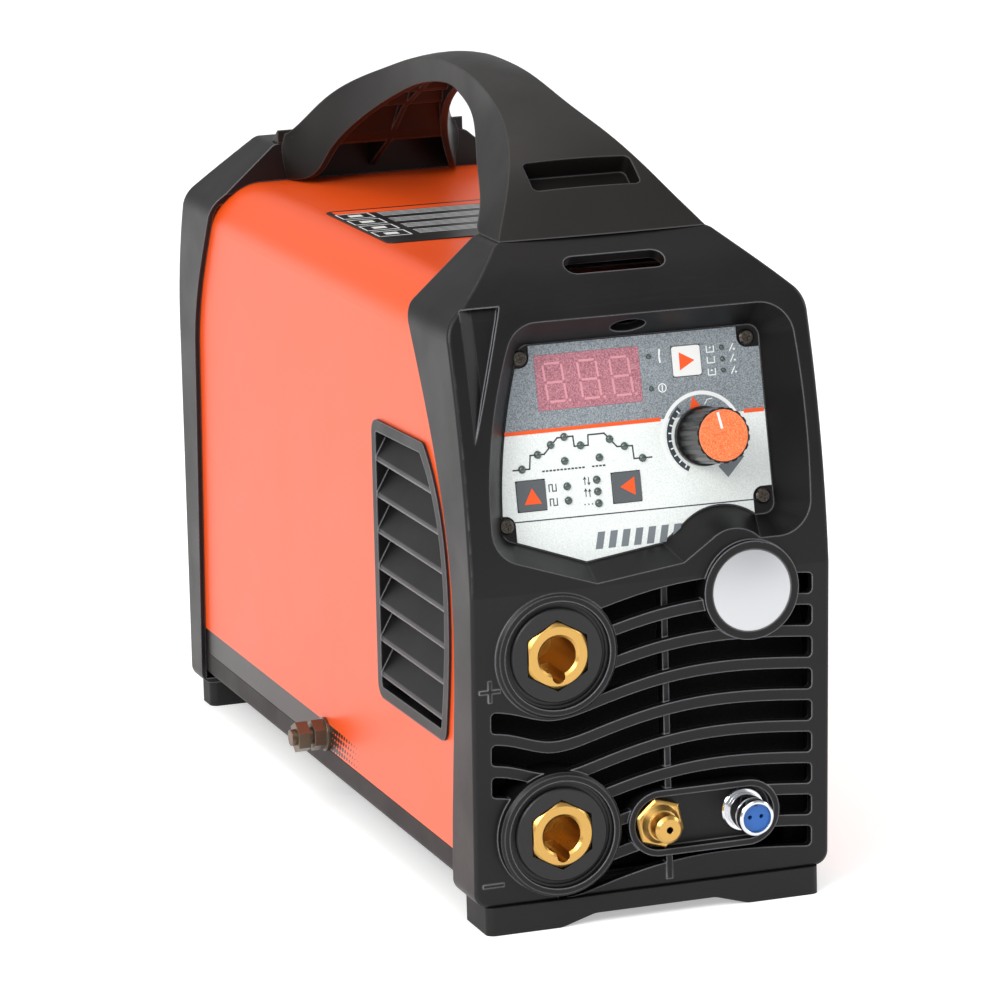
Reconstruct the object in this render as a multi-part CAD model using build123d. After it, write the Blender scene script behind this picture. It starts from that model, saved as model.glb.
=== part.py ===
from build123d import *
import os
from math import copysign, cos, radians, sin

# ---------------------------------------------------------------------------
# Portable TIG welding machine: inverter power source with plastic ends, a
# sheet steel cover and tray, and an arched carrying handle.
# Millimetres.  X to the right seen from the front, Y rearwards from the front
# foot, Z up from the ground.  save() moves everything so that the origin is
# on the ground, in the middle of the overall box.
# ---------------------------------------------------------------------------
LENGTH = 346.5            # front foot to rear face
HALF_W = 64.5             # plastic ends, half of the width
CHIN_Z = 9.7              # underside of the plastic ends, top of the feet
TOP_Z = 229.8             # flat top of both plastic ends
SHOULDER_Z = 207.0        # where the side turns into the sloping shoulder
TOP_HALF_W = 38.6         # half width of the flat top
END_WALL = 2.2            # side and top wall of the plastic ends
FRONT_WALL = 3.6          # front wall of the bezel
RIM_FILLET = 1.2

SHEET_HALF_W = 62.2       # outside of the sheet steel cover
SHEET_TOP = 215.5
SHEET_T = 1.2
SHEET_CORNER_R = 18.0
SEAM_Z = 23.2             # seam between cover and tray
TRAY_Z = 14.0             # underside of the tray floor
GAP = 0.15                # clearance between parts that only touch

PANEL_TILT = 11.5         # the control panel leans back
PANEL_ORIGIN = (0, 8.0, 122.0)
LABEL_T = 0.5
FLOOR_T = 2.5             # bezel wall behind the label
PCB_DEPTH = 11.0          # control board face below the label face
RECESS_DRAFT = 31.0

SOCKET_X = -34.6
SOCKET_Z = {"negative": 33.8, "positive": 96.0}
BOSS_R = 21.6             # round socket boss on the bezel
BOSS_Y = -4.4             # front of the socket bosses
BOSS_BORE = 18.7
COLLAR_BARREL_R = 13.5
HEX_AF = 20.9             # brass socket across flats
SOCKET_BORE = 6.5         # 13 mm twist-lock socket
BADGE = (35.2, 111.4)
BADGE_R = 14.05
BADGE_RING_R = 17.1
POCKET = (18.0, 32.6)     # centre of the connector pocket
POCKET_W, POCKET_H = 52.0, 20.0
GAS_OUT = (1.9, 32.5)
TORCH = (33.5, 33.0)

GAS_THREAD_R = 5.0
FILTER_Y = 12.3           # front of the foam behind the grille
TORCH_R = 6.0

SLOT_PITCH = 11.28
SLOT_H = 7.3
SLOT_Z0 = 17.2

DISPLAY = (-12.2, 184.0)
DISPLAY_W, DISPLAY_H = 37.6, 18.8
KNOB = (26.4, 161.4)
KNOB_CAP_R = 8.75
KNOB_FLUTES = 18
POINTER_REST = 11.0        # tilt of the knob pointer as drawn
GROOVE_LEFT = -59.0
GROOVE_DEPTH = 1.8
MARK = {"positive": (-58.3, 85.7), "negative": (-57.9, 17.5)}
BUTTONS = {
    "select": (23.4, 186.8),
    "up": (-36.3, 147.5),
    "left": (-2.2, 147.2),
}
BUTTON_W = 10.2
WAVE_LEDS = [
    (-38.7, 156.4), (-32.7, 160.7), (-27.8, 163.5), (-22.8, 165.7),
    (-17.2, 162.4), (-6.7, 163.5), (-1.6, 160.7), (4.5, 156.2),
]
MODE_LEDS = [(-23.3, 157.8), (-10.9, 157.8), (-23.3, 149.4), (-23.3, 144.7),
             (-12.6, 150.6), (-12.6, 146.7), (-12.6, 142.8)]
SMALL_LEDS = [(10.0, 189.3), (10.0, 178.7), (36.6, 190.1), (36.6, 186.3), (36.6, 182.5)]
LABEL_SCREWS = [(-36.2, 192.8), (45.8, 192.8), (-46.2, 138.2), (46.6, 139.6)]

FAN_Z = 66.0
FAN_Y = 311.0
FAN_W = 92.0
FAN_T = 25.0
FAN_R = 43.5
SWITCH = (22.0, 154.0)
SWITCH_W, SWITCH_H = 22.0, 30.0
GLAND = (-24.0, 168.0)
GLAND_R = 10.0
GAS_IN = (-24.0, 136.0)
GAS_IN_R = 5.0
EARTH_Y, EARTH_Z = 173.0, 28.5
EARTH_END = 76.0           # reach of the earth bolt to the left
FRONT_REACH = -10.8        # front of the torch socket
REAR_REACH = 362.5         # end of the gas inlet
SERVICE_PAD = (0.0, 153.0)
SERVICE_Y = 345.5
SERVICE_WALL = 3.5
FRONT_FOOT_Y = 12.25
REAR_FOOT_Y = 339.1
HANDLE_SCREW_Y = (46.0, 297.5)
HANDLE_SLOT = (1.1, 59.3, 247.0)
REAR_SCREWS = [(-54.0, 346.4, 22.0), (54.0, 346.4, 22.0), (-54.0, 342.9, 140.0), (54.0, 342.9, 140.0)]
BOARD_Z = 74.0
ROCKER_Y = 341.0
ROCKER_REST = 9.0         # tilt of the rocker when it is off
CORD_HOLE_R = 5.5
VALVE_Y = 326.0
HF_COIL = (-34.6, 128.75)
SOCKET_END = 32.05        # rear end of the brass sockets
BOARD_T = 1.6
STANDOFFS = [(-50.0, 100.0), (50.0, 100.0), (-50.0, 288.0), (50.0, 288.0)]
HOOD_Y = 290.0            # front face of the rear cover above the sheet
HANDLE_MID = 165.0        # the arch is symmetrical about this station

FROM_BASE = (Align.CENTER, Align.CENTER, Align.MIN)

os.makedirs("parts", exist_ok=True)
ORIGIN = Pos((EARTH_END - HALF_W) / 2, -(FRONT_REACH + REAR_REACH) / 2, 0)
PANEL = Plane(
    origin=PANEL_ORIGIN,
    x_dir=(1, 0, 0),
    z_dir=(0, -cos(radians(PANEL_TILT)), sin(radians(PANEL_TILT))),
)


def save(name, *solids):
    """Write one node, moved to the row's origin."""
    shape = Compound(children=[ORIGIN * s for piece in solids for s in piece.solids()])
    if len(shape.solids()) == 1:
        shape = shape.solids()[0]
    export_step(shape, f"parts/{name}.step")


def along_y(outline, y0, y1):
    """Prism of an (x, z) outline between two Y stations."""
    return extrude(Plane.XZ.offset(-y1) * outline, y1 - y0)


def along_x(outline, x0, x1):
    """Prism of a (y, z) outline between two X stations."""
    return extrude(Plane.YZ.offset(x0) * outline, x1 - x0)


def rod_y(x, z, r, y0, y1):
    return along_y(Pos(x, z) * Circle(r), y0, y1)


def tube_y(x, z, r_out, r_in, y0, y1):
    return along_y(Pos(x, z) * (Circle(r_out) - Circle(r_in)), y0, y1)


def block(x0, x1, y0, y1, z0, z1):
    return Pos((x0 + x1) / 2, (y0 + y1) / 2, (z0 + z1) / 2) * Box(x1 - x0, y1 - y0, z1 - z0)


def polygon(*points):
    return make_face(Polyline(*points, close=True))


def rounded(outline, radius):
    return fillet(outline.vertices(), radius)


def on_panel(x, z):
    """A point of the label face, given by its x and height."""
    return (x, (z - PANEL_ORIGIN[2]) / cos(radians(PANEL_TILT)))


def panel_prism(outline, w0, w1):
    """Prism of a panel outline between two heights over the label face."""
    return extrude(PANEL.offset(w0) * outline, w1 - w0)


def panel_rod(place, r, w0, w1):
    return panel_prism(Pos(*on_panel(*place)) * Circle(r), w0, w1)


def panel_box(place, width, height, w0, w1, corner=0.0):
    outline = RectangleRounded(width, height, corner) if corner else Rectangle(width, height)
    return panel_prism(Pos(*on_panel(*place)) * outline, w0, w1)


# ---------------------------------------------------------------------------
# Outlines shared by the casing parts
# ---------------------------------------------------------------------------
def end_front_view(inset=0.0):
    """Front view of a plastic end: straight sides and sloping shoulders."""
    half = [(HALF_W, CHIN_Z), (HALF_W, SHOULDER_Z), (TOP_HALF_W, TOP_Z)]
    outline = polygon(*half, *[(-x, z) for x, z in reversed(half)])
    for height, radius in ((SHOULDER_Z, 11), (TOP_Z, 4), (CHIN_Z, 5)):
        corners = [v for v in outline.vertices() if abs(v.Y - height) < 0.1]
        outline = fillet(corners, radius)
    return offset(outline, -inset) if inset else outline


def sheet_front_view(inset=0.0):
    """Outside of the cover seen from the front, down to below the seam."""
    w = SHEET_HALF_W - inset
    top = SHEET_TOP - inset
    outline = polygon((-w, TRAY_Z - 20), (w, TRAY_Z - 20), (w, top), (-w, top))
    return fillet([v for v in outline.vertices() if v.Y > top - 1], SHEET_CORNER_R - inset)


def bezel_side_view():
    """Side view of the front bezel: upright below, leaning back, then the brow."""
    front = [
        Line((1.2, CHIN_Z), (-3.6, 118)),
        ThreePointArc((-3.6, 118), (2.1, 163), (14.3, 208)),
        Spline((14.3, 208), (17.6, 214.2), (36.5, TOP_Z), tangents=[(0.3, 1), (1.3, 1)]),
    ]
    rear = [
        Line((36.5, TOP_Z), (57, TOP_Z)),
        Line((57, TOP_Z), (57, 206)),
        Spline((57, 206), (40, 178), (27, 152), (17.6, 118), (18, 80), (25, CHIN_Z)),
        Line((25, CHIN_Z), (1.2, CHIN_Z)),
    ]
    return make_face(Wire(front + rear))


def rear_side_view():
    """Side view of the rear cover."""
    edges = [
        Line((332, CHIN_Z), (LENGTH - 0.3, CHIN_Z)),
        Line((LENGTH - 0.3, CHIN_Z), (342.5, 150)),
        Spline((342.5, 150), (337.5, 185), (327, 211), (315, TOP_Z)),
        Line((315, TOP_Z), (HOOD_Y, TOP_Z)),
        Line((HOOD_Y, TOP_Z), (HOOD_Y, 212)),
        Spline((HOOD_Y, 212), (302, 193), (316, 169), (321.5, 150)),
        Line((321.5, 150), (332, CHIN_Z)),
    ]
    return make_face(Wire(edges))


def vent_outline(inset=0.0):
    """Side view of the louvred side vent, drawn in by an inset."""
    i = inset
    corners = [(102 - i, 160.5 - i), (46 + 0.8 * i, 162 - i), (31 + 0.9 * i, 60.5 + i), (104 - i, 60 + i)]
    edges = [
        Line(corners[0], corners[1]),
        Spline(corners[1], (28 + 0.94 * i, 135 - 0.3 * i), (24 + i, 108), corners[2]),
        Line(corners[2], corners[3]),
        Line(corners[3], corners[0]),
    ]
    return rounded(make_face(Wire(edges)), max(5.5 - i, 1.0))


# ---------------------------------------------------------------------------
# Front bezel
# ---------------------------------------------------------------------------
def floor_outline(grow=0.0):
    """Floor of the panel recess, in panel coordinates."""
    left = [on_panel(*p) for p in ((-47.6, 134), (-44.2, 167.5), (-35.6, 197))]
    right = [on_panel(*p) for p in ((50.6, 197), (50.6, 133.6), (43.4, 133.6))]
    arc = [on_panel(*p) for p in ((43.4, 133.6), (31.3, 138), (17.5, 133.4))]
    bottom = [on_panel(*p) for p in ((17.5, 133.4), (9, 127.4), (-18.9, 123.8), (-47.6, 134))]
    edges = [
        ThreePointArc(*left),
        Line(left[-1], right[0]),
        Line(right[0], right[1]),
        Line(right[1], right[2]),
        ThreePointArc(*arc),
        Line(bottom[0], bottom[1]),
        Line(bottom[1], bottom[2]),
        Line(bottom[2], bottom[3]),
    ]
    outline = make_face(Wire(edges))
    corners = [v for v in outline.vertices() if v.Y > 60 or v.X > 48 or v.X < -40]
    outline = fillet(corners, 4)
    return offset(outline, grow) if grow else outline


def recess(grow=0.0, deeper=0.0):
    """Drafted recess that widens from its floor to the front surface."""
    start = PANEL.offset(-LABEL_T - deeper)
    return extrude(start * floor_outline(grow), 26 + deeper, taper=-RECESS_DRAFT)


def groove_side(depth):
    """Side view of the space in front of the leaning face, down to a depth."""
    d = depth
    edges = [
        ThreePointArc((-3.6 + d, 118), (2.1 + d, 163), (14.3 + d, 208)),
        Line((14.3 + d, 208), (16.3 + d, 212)),
        Line((16.3 + d, 212), (-20, 212)),
        Line((-20, 212), (-20, 118)),
        Line((-20, 118), (-3.6 + d, 118)),
    ]
    return make_face(Wire(edges))


def groove():
    """Tapering groove beside the control recess, with a sloping left wall."""
    valley = GROOVE_LEFT + 4.5
    edge, deep = Plane.YZ.offset(GROOVE_LEFT), Plane.YZ.offset(valley)
    wall = loft([edge * groove_side(0.02), deep * groove_side(GROOVE_DEPTH)], ruled=True)
    floor = along_x(groove_side(GROOVE_DEPTH), valley, valley + 14)
    outline = polygon((GROOVE_LEFT, 212), (GROOVE_LEFT + 14, 212), (GROOVE_LEFT - 0.1, 168.5))
    return (wall + floor) & along_y(outline, -30, 30)


def polarity_marks():
    """Raised plus and minus beside the sockets."""
    plus = Pos(*MARK["positive"]) * (Rectangle(7.6, 1.3) + Rectangle(1.3, 7.6))
    minus = Pos(*MARK["negative"]) * Rectangle(7.6, 1.3)
    return [along_y(plus, -2.55, 0), along_y(minus, 0.5, 3)]


def slot_line(z):
    """Wavy centre line that every grille slot follows."""
    wave = [(58, 0), (40, 1.7), (22, 2.2), (0, 0), (-20, -4.8), (-38, -7.6), (-49, -4.4), (-58, -2.6)]
    return [(x, z + rise) for x, rise in wave]


def grille_slots():
    slots = []
    for row in range(9):
        z0 = SLOT_Z0 + row * SLOT_PITCH
        lower = slot_line(z0)
        upper = list(reversed(slot_line(z0 + SLOT_H)))
        outline = make_face(Wire([
            Spline(*lower), Line(lower[-1], upper[0]), Spline(*upper), Line(upper[-1], lower[0]),
        ]))
        outline = rounded(outline, 1.6)
        slot = along_y(outline, -12, 12)
        if row not in (3, 4, 5):
            slot = slot - block(-70, SOCKET_X, -20, 20, 0, 130)
        slots.append(slot)
    return slots


def on_front_rim(edge):
    """True for the edges round the front surface of the bezel."""
    middle, box = edge.center(), edge.bounding_box()
    if abs(middle.Z - CHIN_Z) < 0.01:
        return box.max.Y < 3
    runs_rearwards = box.size.Y > 18 and edge.geom_type == GeomType.LINE
    return abs(middle.X) > TOP_HALF_W - 1 and box.max.Y < 37 and not runs_rearwards


def front_bezel():
    body = along_y(end_front_view(), -15, 70) & along_x(bezel_side_view(), -70, 70)
    body = fillet([e for e in body.edges() if on_front_rim(e)], RIM_FILLET)
    inner = along_y(end_front_view(END_WALL), -15, 70)
    inner = inner & along_x(Pos(FRONT_WALL, -END_WALL - 0.4) * bezel_side_view(), -70, 70)
    inner = inner - block(-70, 70, 54.5, 80, 180, 240)
    passage = along_y(sheet_front_view(-GAP), 14, 70) - block(-70, 70, 0, 80, -30, CHIN_Z + END_WALL)
    brow_wall = polygon((0, 120), (0, 240), (34, 240), (34, 200), (16, 150), (12, 120))
    passage = passage - along_x(brow_wall, -70, 70)

    tub = recess(grow=2.4, deeper=FLOOR_T) & body
    bezel = (body - inner - passage) + tub
    for slot in grille_slots():
        bezel = bezel - slot
    bezel = bezel + block(4.6, 6.8, 0.7, 6.0, 12, 118)
    bosses = [rod_y(SOCKET_X, z, BOSS_R, BOSS_Y, 12) for z in SOCKET_Z.values()]
    bosses = [chamfer(b.faces().sort_by(Axis.Y)[0].edges(), 1.0) for b in bosses]
    for boss in bosses:
        bezel = bezel + boss
    bezel = bezel + rod_y(*BADGE, BADGE_RING_R, -5.4, 3)
    rim = Pos(*POCKET) * SlotOverall(POCKET_W + 3.0, POCKET_H + 3.0)
    bezel = bezel + along_y(rim, -1.4, 7)
    bezel = bezel - recess()

    bezel = bezel - rod_y(*BADGE, BADGE_R + 0.1, -20, -1.6)
    for z in SOCKET_Z.values():
        bezel = bezel - rod_y(SOCKET_X, z, BOSS_BORE, -20, 9)
        bezel = bezel - rod_y(SOCKET_X, z, COLLAR_BARREL_R + 0.1, -20, 20)
    pocket = Pos(*POCKET) * SlotOverall(POCKET_W - 1.4, POCKET_H - 1.4)
    bezel = bezel - along_y(pocket, -10, 3.0)
    bezel = bezel - rod_y(*GAS_OUT, GAS_THREAD_R + 0.1, -10, 20) - rod_y(*TORCH, TORCH_R + 0.1, -10, 20)

    bezel = bezel - groove()
    for mark in polarity_marks():
        bezel = bezel + mark
    ceiling = Plane(origin=(1.7, 18.2, 200.5), x_dir=(1, 0, 0), z_dir=(0, -0.7, -0.7))
    bezel = bezel - extrude(ceiling.offset(-6) * Ellipse(6.3, 3.7), 12)
    brow = Plane(origin=(0, 26.5, 221.5), x_dir=(1, 0, 0), z_dir=(0, -0.62, 0.785))
    bezel = bezel - extrude(brow.offset(-9) * SlotOverall(36, 8), 20)
    for place in LABEL_SCREWS:
        bezel = bezel - panel_rod(place, 1.2, -6, 1) - panel_rod(place, 2.85, -LABEL_T, 4)
    bezel = bezel - panel_box(DISPLAY, DISPLAY_W + 0.6, DISPLAY_H + 1.0, -6, 1)
    bezel = bezel - panel_rod(KNOB, 3.75, -6, 1)
    for place in BUTTONS.values():
        bezel = bezel - panel_box(place, BUTTON_W + 0.4, BUTTON_W + 0.4, -6, 1)
    for place in WAVE_LEDS + MODE_LEDS + SMALL_LEDS:
        bezel = bezel - panel_rod(place, 1.5, -6, 1)
    for x in (-48, 48):
        bezel = bezel - Pos(x, FRONT_FOOT_Y, CHIN_Z) * Cylinder(2.1, 10)
    for x in (-24, 24):
        bezel = bezel - Pos(x, HANDLE_SCREW_Y[0], TOP_Z) * Cylinder(2.1, 12)
    return bezel


# ---------------------------------------------------------------------------
# Rear cover, feet, cover, tray, vents
# ---------------------------------------------------------------------------
def rear_cover():
    body = along_y(end_front_view(), 280, 350) & along_x(rear_side_view(), -70, 70)
    back = body.faces().sort_by(Axis.Y)[-1]
    body = fillet(back.edges(), 1.2)
    inner = along_y(end_front_view(END_WALL), 280, 350)
    inner = inner & along_x(Pos(-2.8, -END_WALL) * rear_side_view(), -70, 70)
    inner = inner - block(-70, 70, 280, 292.6, 180, 240)
    passage = along_y(sheet_front_view(-GAP), 280, 336) - block(-70, 70, 280, 350, -30, CHIN_Z + END_WALL)
    passage = passage - along_x(polygon((336, 150), (326, 190), (315, 240), (345, 240)), -70, 70)
    pad = along_y(Pos(*SERVICE_PAD) * RectangleRounded(84, 78, 5), 333, SERVICE_Y)
    recess_behind = along_y(Pos(*SERVICE_PAD) * RectangleRounded(79, 73, 4), 325, SERVICE_Y - SERVICE_WALL)
    cover = body - inner - passage + pad - recess_behind
    cover = cover - rod_y(0, FAN_Z, FAN_R - 1, 330, 350)
    for ring in (14.0, 24.0, 34.0):
        cover = cover + tube_y(0, FAN_Z, ring + 1.2, ring - 1.2, 341.2, 343.7)
    cover = cover + tube_y(0, FAN_Z, FAN_R, FAN_R - 1.5, 341.2, 343.7)
    for angle in range(4):
        spoke = Pos(0, 0, FAN_Z) * Rot(0, 45 + 90 * angle, 0) * block(8, FAN_R, 341.2, 343.7, -1.3, 1.3)
        cover = cover + spoke
    cover = cover + rod_y(0, FAN_Z, 9, 341.2, 343.7)
    cover = cover - along_y(Pos(*SWITCH) * Rectangle(SWITCH_W + 0.3, SWITCH_H + 0.3), 330, 350)
    cover = cover - rod_y(*GLAND, GLAND_R + 0.1, 330, 350) - rod_y(*GAS_IN, GAS_IN_R + 0.1, 330, 350)
    for x, y, z in REAR_SCREWS:
        cover = cover - rod_y(x, z, 2.1, y - 20, y + 5)
    for x in (-48, 48):
        cover = cover - Pos(x, REAR_FOOT_Y, CHIN_Z) * Cylinder(2.1, 10)
    for x in (-24, 24):
        cover = cover - Pos(x, HANDLE_SCREW_Y[1], TOP_Z) * Cylinder(2.1, 12)
    return cover


def foot(y0, y1, arch_half):
    """Moulded foot across the machine with a shallow arch under its middle."""
    outline = polygon(
        (-60.6, 0), (-arch_half, 0), (-arch_half + 12, 3.6), (arch_half - 12, 3.6), (arch_half, 0),
        (60.6, 0), (60.6, CHIN_Z), (-60.6, CHIN_Z),
    )
    arch = [v for v in outline.vertices() if abs(v.X) < 60]
    outline = fillet(arch, 8)
    body = along_y(outline, y0, y1)
    body = fillet(body.edges().filter_by(Axis.Z), 3)
    for x in (-48, 48):
        middle = (y0 + y1) / 2
        body = body - Pos(x, middle, 5) * Cylinder(2.1, 12) - Pos(x, middle, 1.5) * Cylinder(4.2, 3)
    return body


def side_cut(front_y, rear_y):
    """Side view that keeps the sheet inside the two plastic ends."""
    f, r = front_y, rear_y
    return polygon(
        (8 + f, SEAM_Z + 0.2), (6 + f, 114), (10 + f, 150), (24 + f, 195), (38 + f, SHEET_TOP + 1),
        (312 - r, SHEET_TOP + 1), (326 - r, 190), (334.5 - r, 150), (335 - r, SEAM_Z + 0.2),
    )


def top_cover():
    shell = along_y(sheet_front_view() - sheet_front_view(SHEET_T), 0, 345)
    shell = shell & along_x(side_cut(0, 0), -70, 70)
    shell = shell - along_x(vent_outline(1.0), -70, 70)
    shell = shell - Pos(-SHEET_HALF_W, EARTH_Y, EARTH_Z) * Rot(0, 90, 0) * Cylinder(3.1, 12)
    return shell


def base_tray():
    w = SHEET_HALF_W
    outer = polygon((-w, TRAY_Z), (w, TRAY_Z), (w, SEAM_Z), (-w, SEAM_Z))
    outer = fillet([v for v in outer.vertices() if v.Y < TRAY_Z + 1], 2.4)
    w = SHEET_HALF_W - SHEET_T
    hollow = polygon((-w, TRAY_Z + SHEET_T), (w, TRAY_Z + SHEET_T), (w, SEAM_Z + 1), (-w, SEAM_Z + 1))
    hollow = fillet([v for v in hollow.vertices() if v.Y < TRAY_Z + 2], 1.2)
    tray = along_y(outer - hollow, 9, 342)
    tray = tray - rod_y(SOCKET_X, SOCKET_Z["negative"], BOSS_R + 0.3, 0, 12.3)
    for side in (-1, 1):
        x = side * (w - SHEET_T / 2 - 0.05)
        lip = Pos(x, 172, 28.5) * Box(SHEET_T, 300, 18)
        tray = tray + lip + Pos(side * (w - 0.1), 172, 21) * Box(0.4, 300, 3)
    for y in (FRONT_FOOT_Y, REAR_FOOT_Y):
        for x in (-48, 48):
            tray = tray - Pos(x, y, TRAY_Z) * Cylinder(2.1, 10)
    tray = tray - Pos(-SHEET_HALF_W, EARTH_Y, EARTH_Z) * Rot(0, 90, 0) * Cylinder(3.1, 12)
    for x, y in STANDOFFS:
        tray = tray - Pos(x, y, TRAY_Z) * Cylinder(1.6, 8)
    return tray


def side_vent(side):
    """Louvred plastic insert for one side wall; side is -1 on the left."""
    outline = vent_outline()
    opening = vent_outline(4.0)
    flange = along_x(outline - opening, SHEET_HALF_W + 0.05, SHEET_HALF_W + 1.3)
    body = along_x(vent_outline(1.1) - opening, SHEET_HALF_W - 4.5, SHEET_HALF_W + 0.1)
    vent = flange + body
    inside = along_x(vent_outline(3.8), SHEET_HALF_W - 4.4, SHEET_HALF_W + 0.9)
    pitch = 13.0
    for row in range(7):
        z = 68.5 + row * pitch
        blade = polygon((SHEET_HALF_W + 1.0, z - 1.0), (SHEET_HALF_W + 1.0, z + 0.8),
                        (SHEET_HALF_W - 4.3, z + 10.4), (SHEET_HALF_W - 4.3, z + 8.4))
        vent = vent + (along_y(blade, 15, 110) & inside)
    if side < 0:
        vent = mirror(vent, about=Plane.YZ)
    return vent


# ---------------------------------------------------------------------------
# Handle
# ---------------------------------------------------------------------------
ARCH_CROWN = 1.2
ARCH = [
    # half width and (y, z) of the top edge, then of the lower lip
    (37.4, 36.6, 229.95, 37.4, 56.4, 229.95),
    (31.5, 47.2, 238.2, 34.0, 66.5, 233.5),
    (26.3, 57.0, 245.8, 28.5, 80.0, 237.5),
    (18.4, 78.0, 257.3, 20.0, 107.0, 246.5),
    (13.0, 104.0, 265.3, 13.0, 130.0, 258.0),
    (10.6, 138.0, 272.3, 10.3, 152.0, 264.2),
    (10.0, 165.0, 274.0, 9.8, 166.0, 266.0),
    (10.6, 192.0, 272.8, 10.6, 190.0, 263.6),
    (13.0, 226.0, 265.3, 12.6, 220.0, 255.4),
    (18.4, 252.0, 257.3, 17.6, 247.0, 243.6),
    (26.3, 273.0, 245.8, 24.5, 267.5, 228.0),
    (37.4, 291.0, 232.2, 34.0, 289.4, 216.0),
]


def arch_section(row, inset=0.0):
    """Trapezium across the arch between its top edge and its lower lip."""
    top_w, top_y, top_z, lip_w, lip_y, lip_z = row
    length = ((lip_y - top_y) ** 2 + (lip_z - top_z) ** 2) ** 0.5
    dy, dz = (lip_y - top_y) / length, (lip_z - top_z) / length
    if inset:
        top_w, lip_w = top_w - inset, lip_w - inset
        top_y, top_z = top_y + dy * inset, top_z + dz * inset
        lip_y, lip_z = lip_y + dy * 2, lip_z + dz * 2
    corners = [(-top_w, top_y, top_z), (top_w, top_y, top_z), (lip_w, lip_y, lip_z), (-lip_w, lip_y, lip_z)]
    sides = [Line(corners[1], corners[2]), Line(corners[2], corners[3]), Line(corners[3], corners[0])]
    crown = (0, top_y - dy * ARCH_CROWN, top_z - dz * ARCH_CROWN)
    top = Line(*corners[:2]) if inset else ThreePointArc(corners[0], crown, corners[1])
    return Face(Wire([top] + sides))


def handle():
    arch = loft([arch_section(row) for row in ARCH])
    arch = arch - block(-70, 70, HOOD_Y - GAP, 300, 200, TOP_Z + 0.1)
    arch = arch + along_x(polygon((289.5, 229.95), (297, 229.95), (289.5, 235.0)), -37.3, 37.3)
    tongue = rounded(Rectangle(66, 20), 3)
    arch = arch + extrude(Pos(0, 295, 229.95) * tongue, 2.6)
    hollow = loft([arch_section(row, 3.0) for row in ARCH])
    shell = arch - hollow
    spine = along_x(polygon((60, 229.95), (290, 217), (290, 240), (200, 290), (100, 290)), -1.1, 1.1) & hollow
    lip_line = polygon((56, 231), (80, 241), (107, 250), (130, 261), (166, 269), (190, 266.5), (220, 258.5),
                       (247, 246.5), (267, 231), (289, 219), (300, 300), (40, 300))
    ribs = [spine & along_x(lip_line, -40, 40)]
    for y in (66, 76, 90, 104, 232, 246, 257, 267, 276, 284):
        lean = -0.9 if y < HANDLE_MID else 0.9
        side = polygon((y, 210), (y + 1.8, 210), (y + 1.8 - lean * 60, 270), (y - lean * 60, 270))
        rib = along_x(side, -40, 40)
        ribs.append(rib & hollow & along_x(lip_line, -40, 40))
    for rib in ribs:
        shell = shell + rib
    face = Plane(origin=HANDLE_SLOT, x_dir=(1, 0, 0), z_dir=(0, -0.54, 0.84))
    slot = RectangleRounded(39.0, 14.4, 2.2)
    lining = RectangleRounded(42.6, 18.0, 4.0)
    shell = shell + (extrude(face.offset(-9) * lining, 8.5) & arch)
    shell = shell - extrude(face.offset(-7) * slot, 20)
    for x in (-24, 24):
        boss = Pos(x, HANDLE_SCREW_Y[0], 234.9) * Cylinder(4, 9.9)
        shell = shell + (boss & arch)
        for y in HANDLE_SCREW_Y:
            shell = shell - Pos(x, y, 230.5) * Cylinder(1.8, 7)
    return shell


# ---------------------------------------------------------------------------
# Control panel
# ---------------------------------------------------------------------------
def control_label():
    label = panel_prism(floor_outline(-0.4), -LABEL_T, 0)
    label = label - panel_box(DISPLAY, DISPLAY_W, DISPLAY_H, -2, 2)
    for place in BUTTONS.values():
        label = label - panel_box(place, BUTTON_W + 0.4, BUTTON_W + 0.4, -2, 2)
    for place in WAVE_LEDS + MODE_LEDS:
        label = label - panel_rod(place, 1.35, -2, 2)
    for place in SMALL_LEDS:
        label = label - panel_rod(place, 0.85, -2, 2)
    for x, z in LABEL_SCREWS:
        shift_x, shift_z = 4.25 * copysign(1, x), 4.25 * copysign(1, z - 165)
        label = label - panel_box((x + shift_x, z + shift_z), 15.5, 15.5, -2, 2, 3.5)
    return label - panel_rod(KNOB, 3.9, -2, 2)


def label_screws():
    screws = []
    for place in LABEL_SCREWS:
        head = panel_rod(place, 2.7, -LABEL_T, 1.0)
        head = chamfer(head.edges().sort_by(Axis(PANEL.origin, PANEL.z_dir))[-1], 0.6)
        screw = head + panel_rod(place, 1.15, -5.5, -LABEL_T)
        for turn in (0, 90):
            slot = Pos(*on_panel(*place)) * Rot(0, 0, turn + 20) * Rectangle(3.0, 0.6)
            screw = screw - panel_prism(slot, 0.3, 2)
        screws.append(screw)
    return screws


def status_leds():
    leds = []
    for place in WAVE_LEDS + MODE_LEDS:
        leds.append(panel_rod(place, 1.25, -PCB_DEPTH, 0.25))
    for place in SMALL_LEDS:
        leds.append(panel_rod(place, 0.75, -PCB_DEPTH, 0.15))
    return leds


def control_board():
    board = panel_box((1, 165.5), 98, 57, -PCB_DEPTH - 1.6, -PCB_DEPTH - 0.02)
    for place in LABEL_SCREWS:
        board = board - panel_rod(place, 3.0, -14, -8)
    return board


def grille_filter():
    """Thin foam sheet behind the grille, cut out round the sockets and screws."""
    foam = block(-60.5, 60.5, FILTER_Y, FILTER_Y + 2.0, 15.6, 116.0)
    for z in SOCKET_Z.values():
        foam = foam - rod_y(SOCKET_X, z, COLLAR_BARREL_R + 0.6, 10, 16)
    foam = foam - rod_y(*GAS_OUT, GAS_THREAD_R + 0.6, 10, 16) - rod_y(*TORCH, TORCH_R + 0.6, 10, 16)
    for x in (-48, 48):
        foam = foam - Pos(x, FRONT_FOOT_Y, 15) * Cylinder(4.5, 24)
    return foam


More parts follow.
